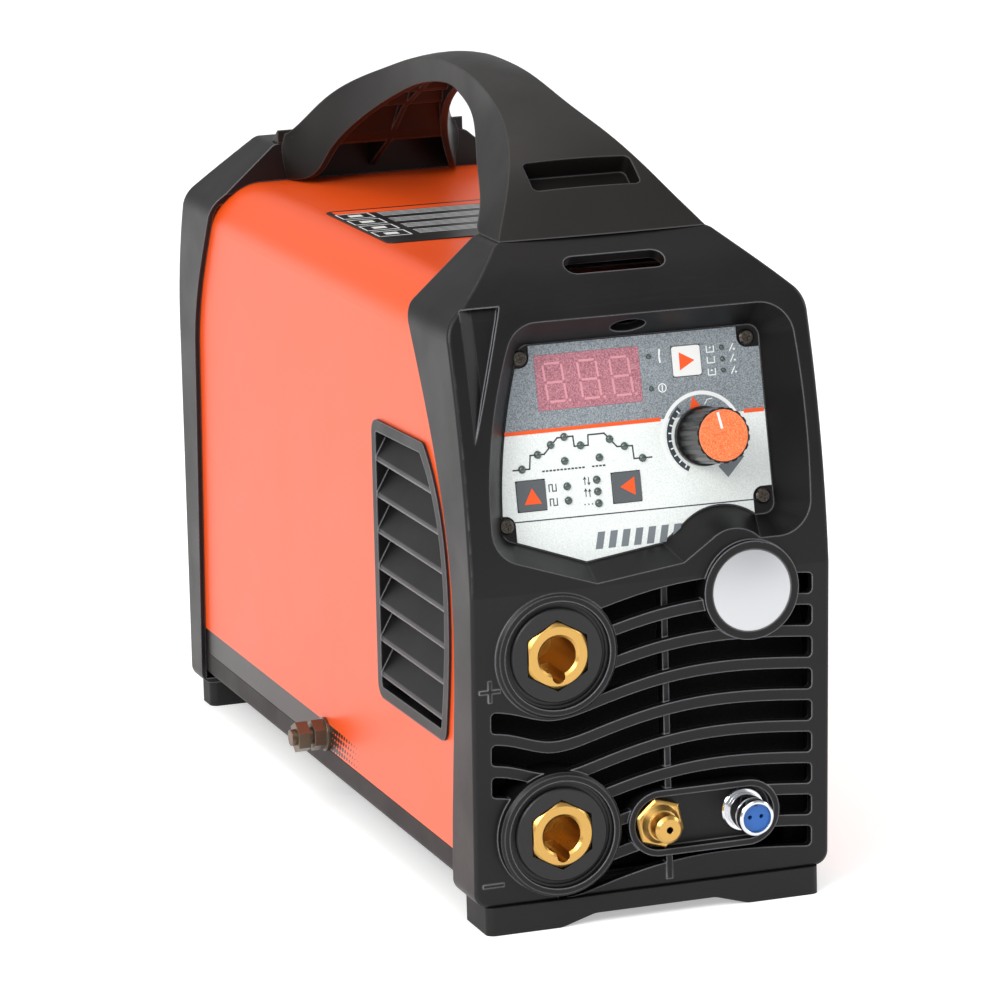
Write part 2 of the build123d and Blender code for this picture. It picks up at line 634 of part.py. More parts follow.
def potentiometer():
    body = panel_box(KNOB, 16, 16, -PCB_DEPTH, -4.0, 1.5)
    body = body + panel_rod(KNOB, 3.5, -4.0, 5.8)
    return body - panel_rod(KNOB, 3.05, -8.5, 8)


def potentiometer_nut():
    hexagon = Pos(*on_panel(*KNOB)) * (RegularPolygon(5.77, 6) - Circle(3.55))
    return panel_prism(hexagon, 0.02, 2.2)


def knob():
    body = panel_rod(KNOB, 9.5, 1.0, 20.6) + panel_rod(KNOB, 10.2, 1.0, 3.4)
    body = body - panel_rod(KNOB, 7.8, 0, 6.6) - panel_rod(KNOB, 3.02, 0, 16.0)
    body = body - panel_rod(KNOB, KNOB_CAP_R + 0.05, 19.2, 22)
    u, v = on_panel(*KNOB)
    for step in range(KNOB_FLUTES):
        angle = radians(360 / KNOB_FLUTES * step)
        flute = Pos(u + 10.35 * cos(angle), v + 10.35 * sin(angle)) * Circle(1.25)
        body = body - panel_prism(flute, 3.4, 22)
    return body


def pointer_outline(width, length):
    u, v = on_panel(*KNOB)
    return Pos(u, v) * Rot(0, 0, POINTER_REST) * Pos(0, 5.2) * Rectangle(width, length)


def knob_cap():
    cap = panel_rod(KNOB, KNOB_CAP_R, 19.25, 21.0)
    cap = chamfer(cap.edges().sort_by(Axis(PANEL.origin, PANEL.z_dir))[-1], 0.35)
    return cap - panel_prism(pointer_outline(0.95, 5.8), 20.5, 22)


def push_button(place):
    body = panel_box(place, BUTTON_W, BUTTON_W, -4.6, 0.35, 0.9)
    return body + panel_box(place, BUTTON_W + 1.6, BUTTON_W + 1.6, -4.6, -3.4, 0.9)


def tact_switches():
    switches = []
    for place in BUTTONS.values():
        switches.append(panel_box(place, 6, 6, -PCB_DEPTH, -6.9, 0.4) + panel_rod(place, 1.75, -7, -5.3))
    return switches


# ---------------------------------------------------------------------------
# Front connections
# ---------------------------------------------------------------------------
def hexagon(af):
    return Rot(0, 0, 30) * RegularPolygon(af / 2 / cos(radians(30)), 6)


def socket_collar(z):
    body = rod_y(SOCKET_X, z, 18.6, BOSS_Y + 1.6, 9) - tube_y(SOCKET_X, z, 17.6, 16.2, -10, BOSS_Y + 2.6)
    disc = chamfer(rod_y(SOCKET_X, z, 16.2, BOSS_Y + 0.3, 2).faces().sort_by(Axis.Y)[0].edges(), 0.5)
    body = body + disc + rod_y(SOCKET_X, z, COLLAR_BARREL_R, 8, 26)
    body = body - along_y(Pos(SOCKET_X, z) * hexagon(HEX_AF + 0.5), -10, 4)
    return body - rod_y(SOCKET_X, z, 9.5, -10, 30)


def socket_insert(z):
    front = BOSS_Y - 0.4
    body = along_y(Pos(SOCKET_X, z) * hexagon(HEX_AF), front, 4)
    cone = Pos(SOCKET_X, front - 0.01, z) * Rot(-90, 0, 0) * Cone(10.2, 24.2, 14, align=FROM_BASE)
    body = body & cone
    body = body + rod_y(SOCKET_X, z, 9.4, 3.9, 32)
    bore = rod_y(SOCKET_X, z, SOCKET_BORE, -10, 20)
    mouth = Pos(SOCKET_X, front - 0.01, z) * Rot(-90, 0, 0) * Cone(7.5, 6.3, 1.2, align=FROM_BASE)
    key = along_y(Pos(SOCKET_X, z - 5.6) * RectangleRounded(4.6, 7.6, 2.2), -10, 12)
    return body - bore - mouth - key - rod_y(SOCKET_X, z, 4.05, 21, 40)


def gas_outlet():
    x, z = GAS_OUT
    body = along_y(Pos(x, z) * Rot(0, 0, 12) * hexagon(15.8), -1.6, 3.0)
    body = chamfer(body.faces().sort_by(Axis.Y)[0].edges(), 0.8)
    neck = Pos(x, -1.4, z) * Rot(90, 0, 0) * Cone(7.0, 5.3, 2.6, align=FROM_BASE)
    tip = chamfer(rod_y(x, z, 4.9, -10.2, -3).faces().sort_by(Axis.Y)[0].edges(), 1.1)
    body = body + neck + tip + rod_y(x, z, GAS_THREAD_R, 3, 14) + rod_y(x, z, 2.6, 14, 30)
    return body - rod_y(x, z, 1.2, -12, 40)


def torch_shell():
    x, z = TORCH
    flange = chamfer(rod_y(x, z, 7.9, 1.2, 3.0).faces().sort_by(Axis.Y)[0].edges(), 0.6)
    body = flange + rod_y(x, z, 6.2, -10.8, 2) + rod_y(x, z, TORCH_R, 2.9, 15)
    body = chamfer(body.faces().sort_by(Axis.Y)[0].edges(), 0.5)
    body = body - tube_y(x, z, 8, 5.85, -7.2, -6.4)
    return body - rod_y(x, z, 5.05, -12, 20)


def torch_insert():
    x, z = TORCH
    body = rod_y(x, z, 5.0, -9.4, 17)
    for side in (-1, 1):
        body = body - rod_y(x + side * 2.1, z + 0.2, 0.75, -12, -4)
    return body - block(x - 0.7, x + 0.7, -12, -7, z + 4.1, z + 6)


def earth_stud():
    place = Pos(0, EARTH_Y, EARTH_Z) * Rot(0, -90, 0)
    shank = place * Pos(0, 0, 57.0) * Cylinder(3.0, 19.0, align=(Align.CENTER, Align.CENTER, Align.MIN))
    head = place * Pos(0, 0, 55.6) * extrude(hexagon(10), 3.8)
    return shank + head


def earth_nuts():
    place = Pos(0, EARTH_Y, EARTH_Z) * Rot(0, -90, 0)
    washer = place * Pos(0, 0, SHEET_HALF_W + 0.02) * extrude(Circle(6.2) - Circle(3.02), 1.2)
    nuts = [washer]
    for start in (SHEET_HALF_W + 1.25, SHEET_HALF_W + 7.4):
        nut = place * Pos(0, 0, start) * extrude(Rot(0, 0, 9 * start) * hexagon(10), 4.6)
        nut = nut - place * Pos(0, 0, start) * Cylinder(3.02, 20)
        nuts.append(nut)
    return nuts


def badge_disc():
    rise, r = 1.5, BADGE_R
    radius = (r * r + rise * rise) / (2 * rise)
    disc = rod_y(*BADGE, r, -6.9, -1.6)
    ball = Pos(BADGE[0], -6.8 + radius, BADGE[1]) * Sphere(radius)
    return disc & ball


def top_plate():
    outline = Pos(-5, 170.5) * RectangleRounded(80, 75, 3)
    return extrude(Pos(0, 0, SHEET_TOP + 0.02) * outline, 0.4)


# ---------------------------------------------------------------------------
# Inside
# ---------------------------------------------------------------------------
def heatsink(side):
    x0, x1 = sorted((side * 5, side * 46))
    sink = block(x0, x1, 104, 284, 60, 65)
    fins = 9
    for step in range(fins):
        x = x0 + 0.9 + step * (x1 - x0 - 1.8) / (fins - 1)
        low = TRAY_Z + SHEET_T + 0.05 if step in (0, fins - 1) else 22
        sink = sink + block(x - 0.9, x + 0.9, 104, 284, low, 60.5)
    return sink


def power_modules():
    places = [(x, y) for x in (-26, 26) for y in (130, 170, 210, 250)]
    return [block(x - 13, x + 13, y - 12, y + 12, 65.05, BOARD_Z - 0.05) for x, y in places]


def main_board():
    board = block(-54, 54, 92, 298, BOARD_Z, BOARD_Z + BOARD_T)
    for x, y in STANDOFFS:
        board = board - Pos(x, y, BOARD_Z) * Cylinder(1.6, 6)
    return board


def standoffs():
    low, high = TRAY_Z + SHEET_T + 0.02, BOARD_Z - 0.02
    posts = []
    for x, y in STANDOFFS:
        post = Pos(x, y, (low + high) / 2) * extrude(hexagon(6.5), (high - low) / 2, both=True)
        posts.append(post - Pos(x, y, (low + high) / 2) * Cylinder(1.5, high - low))
    return posts


def board_z(height):
    return BOARD_Z + BOARD_T + 0.02 + height


def capacitors():
    cans = []
    for x in (-30.5, 0, 30.5):
        can = Pos(x, 276, board_z(25)) * Cylinder(14.5, 50)
        can = fillet(can.edges().sort_by(Axis.Z)[-1], 1.5)
        vent = Box(20, 0.8, 0.8) + Box(0.8, 20, 0.8)
        cans.append(can - Pos(x, 276, board_z(50)) * vent)
    return cans


def transformer_core():
    z0, z1 = board_z(0), board_z(46)
    core = block(-42, 14, 196, 232, z0, z1)
    for x0, x1 in ((-34, -22), (-6, 6)):
        core = core - block(x0, x1, 190, 240, z0 + 8, z1 - 8)
    return core


def transformer_winding():
    outer = RectangleRounded(39, 57, 8)
    inner = RectangleRounded(16.6, 36.6, 1.0)
    coil = extrude(Pos(-14, 214, board_z(8.2)) * (outer - inner), 29.6)
    for step in range(6):
        z = board_z(10.5 + step * 5)
        groove = RectangleRounded(39.4, 57.4, 8) - RectangleRounded(38.2, 56.2, 7.4)
        coil = coil - extrude(Pos(-14, 214, z) * groove, 1.2)
    return coil


def output_choke():
    x, y, z = 32, 214, board_z(24)
    core = Pos(x, y, z) * Rot(0, 90, 0) * Torus(15.5, 7.5)
    return core


def hf_coil():
    y0, y1 = 58, 88
    coil = tube_y(HF_COIL[0], HF_COIL[1], 15, 6.3, y0, y1)
    for step in range(6):
        y = y0 + 3 + step * 4.4
        coil = coil - tube_y(HF_COIL[0], HF_COIL[1], 16, 14.2, y, y + 1.6)
    return coil


def busbar_positive():
    x, z = SOCKET_X, SOCKET_Z["positive"]
    top = HF_COIL[1] + 1.25
    bar = block(x - 7, x + 7, SOCKET_END, SOCKET_END + 2.5, z - 7, top)
    bar = bar + block(x - 5, x + 5, SOCKET_END, 120, top - 2.5, top)
    bar = bar + block(x - 5, x + 5, 117.5, 120, board_z(0), top)
    return bar - rod_y(x, z, 4.1, 30, 40)


def busbar_negative():
    x, z = SOCKET_X, SOCKET_Z["negative"]
    bar = block(x - 7, x + 7, SOCKET_END, SOCKET_END + 2.5, z - 7, board_z(2.5))
    bar = bar + block(x - 7, x + 7, SOCKET_END, 110, board_z(0), board_z(2.5))
    return bar - rod_y(x, z, 4.1, 30, 40)


def socket_bolts():
    bolts = []
    for z in SOCKET_Z.values():
        shank = rod_y(SOCKET_X, z, 4.0, 22, 34.7)
        bolts.append(shank + along_y(Pos(SOCKET_X, z) * hexagon(13), 34.65, 40))
    return bolts


def fan_frame():
    y0, y1 = FAN_Y, FAN_Y + FAN_T
    outline = Pos(0, FAN_Z) * (RectangleRounded(FAN_W, FAN_W, 5) - Circle(FAN_R))
    frame = along_y(outline, y0, y1)
    frame = frame - (along_y(Pos(0, FAN_Z) * (Rectangle(100, 100) - Circle(FAN_R + 1.6)), y0 + 4, y1 - 4)
                     - along_y(Pos(0, FAN_Z) * Rectangle(20, 200), y0, y1))
    for x in (-41.2, 41.2):
        for z in (-41.2, 41.2):
            frame = frame - rod_y(x, FAN_Z + z, 2.1, y0 - 1, y1 + 1)
    frame = frame + rod_y(0, FAN_Z, 17.5, y1 - 3, y1)
    for turn in range(4):
        strut = Pos(0, 0, FAN_Z) * Rot(0, 90 * turn + 20, 0) * block(15, FAN_R + 0.6, y1 - 3, y1, -1.5, 1.5)
        frame = frame + strut
    frame = frame + rod_y(0, FAN_Z, 4.5, y0 + 6, y1)
    return frame - rod_y(0, FAN_Z, 2.06, y0, y1 - 1)


def fan_rotor():
    y0 = FAN_Y + 1.2
    hub = rod_y(0, FAN_Z, 18, y0, FAN_Y + 20.5) - rod_y(0, FAN_Z, 16, y0 + 2.5, FAN_Y + 25)
    hub = hub + rod_y(0, FAN_Z, 2.0, y0 + 2, FAN_Y + 22)
    for blade in range(7):
        turn = Pos(0, FAN_Y + 10.6, FAN_Z) * Rot(0, blade * 360 / 7, 0)
        plate = turn * Pos(29.9, 0, 0) * Rot(38, 0, 0) * Box(24.6, 21, 1.5)
        hub = hub + plate
    return hub - tube_y(0, FAN_Z, 60, FAN_R - 0.9, FAN_Y - 5, FAN_Y + 30)


def switch_housing():
    x, z = SWITCH
    body = along_y(Pos(x, z) * Rectangle(SWITCH_W, SWITCH_H), 322, SERVICE_Y + 0.5)
    bezel = Pos(x, z) * RectangleRounded(SWITCH_W + 3.4, SWITCH_H + 3.4, 2)
    body = body + along_y(bezel, SERVICE_Y + 0.02, SERVICE_Y + 1.8)
    body = body - block(x - 9.6, x + 9.6, 334.5, 350, z - 14, z + 14)
    body = body - Pos(x, ROCKER_Y, z) * Rot(0, 90, 0) * Cylinder(1.56, 21)
    for side in (-1, 1):
        body = body + block(x + side * 5 - 3, x + side * 5 + 3, 312.5, 322.2, z - 0.4, z + 0.4)
    return body


def power_rocker():
    x, z = SWITCH
    outline = polygon((2.5, 12.6), (-4, 5), (-4, -5), (2.5, -12.6), (8.2, -12.6), (5.6, 0), (8.2, 12.6))
    outline = fillet([v for v in outline.vertices() if v.X > 8 or v.X < -3], 1.0)
    rocker = along_x(outline, -9.3, 9.3) + Rot(0, 90, 0) * Cylinder(1.5, 20.8)
    return Pos(x, ROCKER_Y, z) * Rot(ROCKER_REST, 0, 0) * rocker


def cable_gland():
    x, z = GLAND
    nut = along_y(Pos(x, z) * hexagon(24), SERVICE_Y + 0.02, SERVICE_Y + 5)
    nut = chamfer(nut.faces().sort_by(Axis.Y)[-1].edges(), 0.8)
    dome = Pos(x, SERVICE_Y + 4.9, z) * Rot(-90, 0, 0) * Cone(10.6, 8.4, 9, align=FROM_BASE)
    body = nut + dome + rod_y(x, z, GLAND_R, 334, SERVICE_Y + 1)
    body = body + along_y(Pos(x, z) * hexagon(24), 334, SERVICE_Y - SERVICE_WALL - 0.02)
    return body - rod_y(x, z, CORD_HOLE_R, 320, 370)


def gas_inlet():
    x, z = GAS_IN
    nut = along_y(Pos(x, z) * hexagon(14), SERVICE_Y + 0.02, SERVICE_Y + 4.5)
    body = nut + rod_y(x, z, GAS_IN_R, 334, SERVICE_Y + 1) + rod_y(x, z, 3.2, SERVICE_Y + 4, SERVICE_Y + 17)
    for step in range(3):
        y = SERVICE_Y + 7 + 3.6 * step
        barb = Pos(x, y, z) * Rot(-90, 0, 0) * Cone(4.2, 3.1, 2.8, align=FROM_BASE)
        body = body + barb
    return body - rod_y(x, z, 1.6, 320, 370)


def valve_body():
    x, z = GAS_IN
    body = block(x - 10, x + 10, 318, 333.9, z - 10, z + 10)
    body = body + rod_y(x, z, 5.0, 293, 318.5)
    body = body - rod_y(x, z, 4.05, 295, 319.5) - rod_y(x, z, 1.5, 319, 340)
    body = body + along_x(Pos(VALVE_Y, z) * Circle(2.4), x - 19, x - 9)
    return body - along_x(Pos(VALVE_Y, z) * Circle(1.2), x - 30, x)


def valve_plunger():
    return rod_y(*GAS_IN, 4.0, 297.6, 319.2)


def valve_coil():
    return tube_y(*GAS_IN, 12.5, 5.1, 295, 317)


def gas_hose():
    """Hose from the valve, along the left wall, down to the outlet."""
    x, z = GAS_IN
    route = [
        (x - 10.3, VALVE_Y, z), (-53, VALVE_Y, z), (-53, 290, 98), (-52, 96, 98), (-49, 60, 62),
        (-30, 50, GAS_OUT[1]), (GAS_OUT[0], 48, GAS_OUT[1]), (GAS_OUT[0], 16, GAS_OUT[1]),
    ]
    path = FilletPolyline(*route, radius=10)
    wire = Wire(path.edges())
    start = Plane(origin=wire @ 0, z_dir=wire % 0)
    return sweep(start * (Circle(4.0) - Circle(2.65)), path=wire)


def rear_screws():
    screws = []
    for x, y, z in REAR_SCREWS:
        screw = rod_y(x, z, 3.8, y, y + 2.2) + rod_y(x, z, 2.0, y - 12, y + 0.1)
        screws.append(screw - block(x - 2.6, x + 2.6, y + 1.2, y + 4, z - 0.45, z + 0.45))
    return screws


def foot_screws():
    screws = []
    for y in (FRONT_FOOT_Y, REAR_FOOT_Y):
        for x in (-48, 48):
            head = Pos(x, y, 1.8) * Cylinder(3.7, 2.2)
            shank = Pos(x, y, 9.05) * Cylinder(2.0, 12.5)
            screws.append(head + shank - Pos(x, y, 0.9) * Box(5, 0.9, 1.4))
    return screws


def handle_screws():
    screws = []
    for y in HANDLE_SCREW_Y:
        for x in (-24, 24):
            low = TOP_Z - END_WALL - 0.5
            head = Pos(x, y, low - 1.4) * Cylinder(3.4, 2.4)
            screws.append(head + Pos(x, y, low + 3.1) * Cylinder(1.75, 7.0))
    return screws


save("front_bezel", front_bezel())
save("rear_cover", rear_cover())
save("front_foot", foot(0, 24.5, 34))
save("rear_foot", foot(332.2, 346, 34))
save("top_cover", top_cover())
save("base_tray", base_tray())
save("vent_left", side_vent(-1))
save("vent_right", side_vent(1))
save("handle", handle())
save("control_label", control_label())
save("display_window", panel_box(DISPLAY, DISPLAY_W - 0.1, DISPLAY_H - 0.1, -LABEL_T, -0.02))
save("display_module", panel_box(DISPLAY, DISPLAY_W - 0.1, DISPLAY_H - 0.1, -PCB_DEPTH, -LABEL_T - 0.05))
save("status_leds", *status_leds())
save("label_screws", *label_screws())
save("control_board", control_board())
save("grille_filter", grille_filter())
save("potentiometer", potentiometer(), potentiometer_nut())
save("knob_shaft", panel_rod(KNOB, 3.0, -8.3, 15.9))
save("knob", knob())
save("knob_cap", knob_cap())
save("knob_pointer", panel_prism(pointer_outline(0.9, 5.7), 20.52, 21.1))
for button_name, button_place in BUTTONS.items():
    save(f"button_{button_name}", push_button(button_place))
save("tact_switches", *tact_switches())
for pole, height in SOCKET_Z.items():
    save(f"socket_collar_{pole}", socket_collar(height))
    save(f"socket_insert_{pole}", socket_insert(height))
save("socket_bolts", *socket_bolts())
save("busbars", busbar_positive(), busbar_negative())
save("gas_outlet", gas_outlet())
save("torch_socket_shell", torch_shell())
save("torch_socket_insert", torch_insert())
save("earth_stud", earth_stud())
save("earth_nuts", *earth_nuts())
save("badge_disc", badge_disc())
save("top_plate", top_plate())
save("heatsinks", heatsink(-1), heatsink(1))
save("power_modules", *power_modules())
save("main_board", main_board())
save("board_standoffs", *standoffs())
save("capacitors", *capacitors())
save("transformer_core", transformer_core())
save("transformer_winding", transformer_winding())
save("output_choke", output_choke())
save("hf_coil", hf_coil())
save("fan_frame", fan_frame())
save("fan_rotor", fan_rotor())
save("switch_housing", switch_housing())
save("power_rocker", power_rocker())
save("cable_gland", cable_gland())
save("gas_inlet", gas_inlet())
save("valve_body", valve_body())
save("valve_plunger", valve_plunger())
save("valve_coil", valve_coil())
save("gas_hose", gas_hose())
save("rear_screws", *rear_screws())
save("foot_screws", *foot_screws())
save("handle_screws", *handle_screws())
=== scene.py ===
"""Looks of the tig welding machine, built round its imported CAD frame."""

from math import atan2, cos, pi, radians, sin, tan

import bmesh
import bpy
from mathutils import Matrix, Vector


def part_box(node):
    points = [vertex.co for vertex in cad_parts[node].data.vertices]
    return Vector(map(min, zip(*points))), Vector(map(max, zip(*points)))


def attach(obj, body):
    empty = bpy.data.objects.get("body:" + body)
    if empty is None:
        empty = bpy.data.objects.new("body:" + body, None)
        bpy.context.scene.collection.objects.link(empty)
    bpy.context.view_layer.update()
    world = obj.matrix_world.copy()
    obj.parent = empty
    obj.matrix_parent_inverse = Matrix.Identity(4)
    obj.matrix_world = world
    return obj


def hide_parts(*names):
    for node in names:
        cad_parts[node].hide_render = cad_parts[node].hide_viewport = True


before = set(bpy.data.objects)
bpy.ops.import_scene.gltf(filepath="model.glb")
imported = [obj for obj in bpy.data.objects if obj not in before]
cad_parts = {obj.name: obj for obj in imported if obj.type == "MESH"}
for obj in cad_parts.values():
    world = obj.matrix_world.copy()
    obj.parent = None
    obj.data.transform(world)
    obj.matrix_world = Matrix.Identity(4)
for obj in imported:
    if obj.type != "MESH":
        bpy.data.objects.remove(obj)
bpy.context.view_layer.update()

# ---------------------------------------------------------------------------
# Places. Drawings use millimetres from the front foot: x right, y back, z up
# ---------------------------------------------------------------------------
MM = 0.001
bezel_low, bezel_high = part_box("front_bezel")
DATUM = Vector(((bezel_low[0] + bezel_high[0]) / 2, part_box("front_foot")[0][1], 0.0))
PANEL_TILT = radians(11.5)
PANEL_Y, PANEL_Z = 8.0, 122.0            # a point of the label's face
PANEL_NORMAL = Vector((0, -cos(PANEL_TILT), sin(PANEL_TILT)))
INK = 0.06                               # height of printed ink
INK_SINK = -0.02                         # its underside, below the face it lies on
WHITE_INK = INK + 0.02                   # inks that cross others lie a little higher
ORANGE_INK = INK + 0.03
BUTTON_RISE = 0.35                       # face of a push button above the label
PLATE_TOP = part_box("top_plate")[1][2] / MM
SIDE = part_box("top_cover")[1][0] / MM - DATUM.x / MM    # half the cover's width

# Printed band low on both sides of the cover
BAND_LOW, BAND_HIGH = 23.4, 33.0
BAND_START, BAND_FULL = 128.0, 176.0     # where its dots begin and close up
DOT_PITCH = 2.9
DOT_ROW = 0.82                           # height of a row of dots, in pitches
DOT_SLANT = 0.5
DOT_REACH = 0.75                         # radius that closes the gaps, in pitches
BAND_SKIN = 0.4                          # the print is only this close to the outside
CASING_MIDDLE = 100.0                    # a height inside the casing, to tell inside faces

# Status lights: along the wave, beside the signs, and the small ones above
WAVE_LEDS = [
    (-38.7, 156.4), (-32.7, 160.7), (-27.8, 163.5), (-22.8, 165.7),
    (-17.2, 162.4), (-6.7, 163.5), (-1.6, 160.7), (4.5, 156.2),
]
MODE_LEDS = [
    (-23.3, 157.8), (-10.9, 157.8), (-23.3, 149.4), (-23.3, 144.7),
    (-12.6, 150.6), (-12.6, 146.7), (-12.6, 142.8),
]
SMALL_LEDS = [(10.0, 189.3), (10.0, 178.7), (36.6, 190.1), (36.6, 186.3), (36.6, 182.5)]
LARGE_DOME, SMALL_DOME = 1.28, 0.78      # radii of the lights' lenses
DOME_FOOT, DOME_RISE = -0.1, 0.2         # straight wall under a lens dome
DOME_CURVE, DOME_TIP = 0.62, 0.66        # its height over its radius
DOME_CLIMB = (25, 45, 65)                # its rings, in degrees up from the wall
DOME_STEPS = 20

# Scale round the knob, angles in degrees from the right, and the stripe it breaks
DIAL = (26.8, 161.6)
SCALE_RING = {"inner": 13.6, "outer": 14.9, "start": 22, "end": 241, "steps": 60}
SCALE_ARC = {"inner": 11.3, "outer": 13.0, "start": 128, "end": 241, "steps": 40}
TICKS, TICK_START, TICK_STEP = 9, 134, 12.5
TICK_RADII = (11.2, 12.2)
STRIPE_Z, STRIPE_HEIGHT = 168.3, 1.25

# Slanted bars low on the label
BARS, BAR_START, BAR_PITCH = 7, -14.0, 4.6
BAR_Z, BAR_WIDTH, BAR_HEIGHT, BAR_LEAN = 130.6, 2.6, 5.6, 1.4

# Seven-segment digits of the display
DIGIT_CENTRES = (-24.3, -11.9, -0.4)
DIGIT_WIDTH, DIGIT_HEIGHT, DIGIT_LOW = 6.6, 12.6, 177.6
DIGIT_LEAN = 0.085
SEGMENT_WIDTH, SEGMENT_GAP = 0.75, 0.9
POINT_ASIDE, POINT_RADIUS = 1.6, 0.45    # decimal point after each digit
DIGIT_INK = 0.01

# Blocks and lines on the plate under the handle
PLATE_ROWS, PLATE_ROW_PITCH, PLATE_FIRST_ROW = 4, 14.0, 152.0
PLATE_BLOCK_X = -37.5
PLATE_LINES, PLATE_LINE_PITCH, PLATE_FIRST_LINE = 4, 2.4, 148.4
PLATE_LINE_ENDS = (-28.0, 20.0)

# Light and camera, in metres of the row frame
FLOOR_RADIUS, FLOOR_CORNERS = 30.0, 96
FLOOR_GLOW = 0.42
WORLD_LIGHT = 0.50
LIGHT_AIM = Vector((0.0147, 0.0, 0.1088))
LIGHTS = [
    ("wide_sun", "SUN", (-1.2, -1.6, 2.6), {"energy": 1.15, "angle": radians(60)}),
    ("left_softbox", "AREA", (-1.3, -1.1, 1.1), {"energy": 18, "size": 0.8, "color": (1.0, 0.98, 0.96)}),
    ("top_softbox", "AREA", (0.0, 0.5, 1.7), {"energy": 5, "size": 1.0, "color": (1.0, 0.91, 0.83)}),
    ("right_softbox", "AREA", (1.5, -0.5, 0.7), {"energy": 7, "size": 0.7, "color": (0.96, 0.98, 1.0)}),
]
CAMERA_PLACE = Vector((-0.58225, -1.72285, 0.516))
CAMERA_FORWARD = Vector((0.31951, 0.92218, -0.21797)).normalized()
CAMERA_ROLL = radians(-1.63)
CAMERA_LENS, CAMERA_SENSOR = 182.3, 36.0


def at(x, y, z):
    """Point of the row frame, in metres, from drawing millimetres."""
    return DATUM + Vector((x, y, z)) * MM


def on_panel(x, z, lift=0.0):
    """Point on the tilted label, lifted along its normal."""
    y = PANEL_Y + (z - PANEL_Z) * tan(PANEL_TILT)
    return at(x, y, z) + PANEL_NORMAL * lift * MM


def on_top(x, y, lift=0.0):
    """Point on the plate under the handle."""
    return at(x, y, PLATE_TOP + lift)


# ---------------------------------------------------------------------------
# Materials
# ---------------------------------------------------------------------------
def linear(red, green, blue):
    """Scene colour of an 8 bit display colour."""
    def channel(value):
        value = value / 255
        return value / 12.92 if value <= 0.04045 else ((value + 0.055) / 1.055) ** 2.4
    return (channel(red), channel(green), channel(blue), 1.0)


EDGE_SAMPLES = 6
PATCH_SCALE, PATCH_DETAIL = 38.0, 4.0    # broad unevenness, in patches a metre
SPECK_DETAIL = 2.0


class Nodes:
    """A new material and short ways to wire its nodes."""

    def __init__(self, name):
        self.material = bpy.data.materials.new(name)
        self.material.use_nodes = True
        self.tree = self.material.node_tree
        self.shader = self.tree.nodes["Principled BSDF"]
        self.place = self.add("ShaderNodeTexCoord").outputs["Object"]

    def add(self, kind, wires=None, **settings):
        node = self.tree.nodes.new(kind)
        for key, value in settings.items():
            setattr(node, key, value)
        for key, value in (wires or {}).items():
            self.set(node.inputs[key], value)
        return node

    def set(self, socket, value):
        if isinstance(value, bpy.types.NodeSocket):
            self.tree.links.new(value, socket)
        else:
            socket.default_value = value

    def finish(self, **values):
        for key, value in values.items():
            self.set(self.shader.inputs[key.replace("_", " ")], value)
        return self.material

    def math(self, operation, a, b=0.0, clamp=False):
        wires = {0: a, 1: b}
        return self.add("ShaderNodeMath", wires, operation=operation, use_clamp=clamp).outputs[0]

    def vector(self, operation, a, b):
        return self.add("ShaderNodeVectorMath", {0: a, 1: b}, operation=operation)

    def noise(self, scale, detail=2.0):
        wires = {"Vector": self.place, "Scale": scale, "Detail": detail}
        return self.add("ShaderNodeTexNoise", wires).outputs["Fac"]

    def spread(self, factor, low, high, start=0.3, end=0.7):
        """Map a factor between start and end to the range low to high."""
        wires = {
            "Value": factor, "From Min": start, "From Max": end, "To Min": low, "To Max": high,
        }
        return self.add("ShaderNodeMapRange", wires).outputs["Result"]

    def mix(self, factor, a, b):
        """Colour between a and b, by the sockets of a colour mix."""
        node = self.add("ShaderNodeMix", data_type="RGBA")
        for index, value in ((0, factor), (6, a), (7, b)):
            self.set(node.inputs[index], value)
        return node.outputs[2]

    def axes(self):
        split = self.add("ShaderNodeSeparateXYZ", {0: self.place})
        return split.outputs[0], split.outputs[1], split.outputs[2]

    def soft_edge(self, radius):
        """Normal with the edges rounded to a radius in millimetres."""
        wires = {"Radius": radius * MM}
        return self.add("ShaderNodeBevel", wires, samples=EDGE_SAMPLES).outputs["Normal"]

    def bump(self, height, depth, normal=None):
        wires = {"Height": height, "Distance": depth * MM, "Strength": 1.0}
        if normal:
            wires["Normal"] = normal
        return self.add("ShaderNodeBump", wires).outputs["Normal"]

    def edge_mask(self, normal, gain):
        """Where the rounded edge turns away from its flat face."""
        face = self.add("ShaderNodeNewGeometry").outputs["True Normal"]
        dot = self.vector("DOT_PRODUCT", normal, face).outputs["Value"]
        bend = self.math("SUBTRACT", 1.0, dot)
        return self.math("MULTIPLY", bend, gain, clamp=True)


def scaled(colour, factor):
    """Colour made lighter or darker by a factor."""
    return tuple(min(c * factor, 1.0) for c in colour[:3]) + (1.0,)


def surface(
    name, colour, roughness, metallic=0.0, grain=0.35, depth=0.006, tone=0.12,
    edge=0.5, edge_highlight=None, gain=1.2, coat=0.0, specular=0.5, uneven=0.05,
):
    """Grained surface with rounded edges, a painted highlight along them, and uneven tone.

    colour is a colour or a function that paints one; edge_highlight is the
    colour of the painted highlight along the edges; grain, depth and edge are millimetres.
    """
    n = Nodes(name)
    normal = n.soft_edge(edge) if edge else None
    patches = n.noise(PATCH_SCALE, PATCH_DETAIL)
    speck = n.noise(1 / MM / grain, SPECK_DETAIL)
    if callable(colour):
        shade = colour(n, patches, speck)
    else:
        shade = n.mix(patches, scaled(colour, 1 - tone), scaled(colour, 1 + tone))
    # Painted highlight: a lighter colour along the rounded edges, where the bevel turns away from the
    # face
    if edge_highlight:
        shade = n.mix(n.edge_mask(normal, gain), shade, edge_highlight)
    return n.finish(
        Base_Color=shade,
        Roughness=n.spread(patches, roughness - uneven, roughness + uneven),
        Metallic=metallic,
        Normal=n.bump(speck, depth, normal),
        Coat_Weight=coat,
        Specular_IOR_Level=specular,
    )


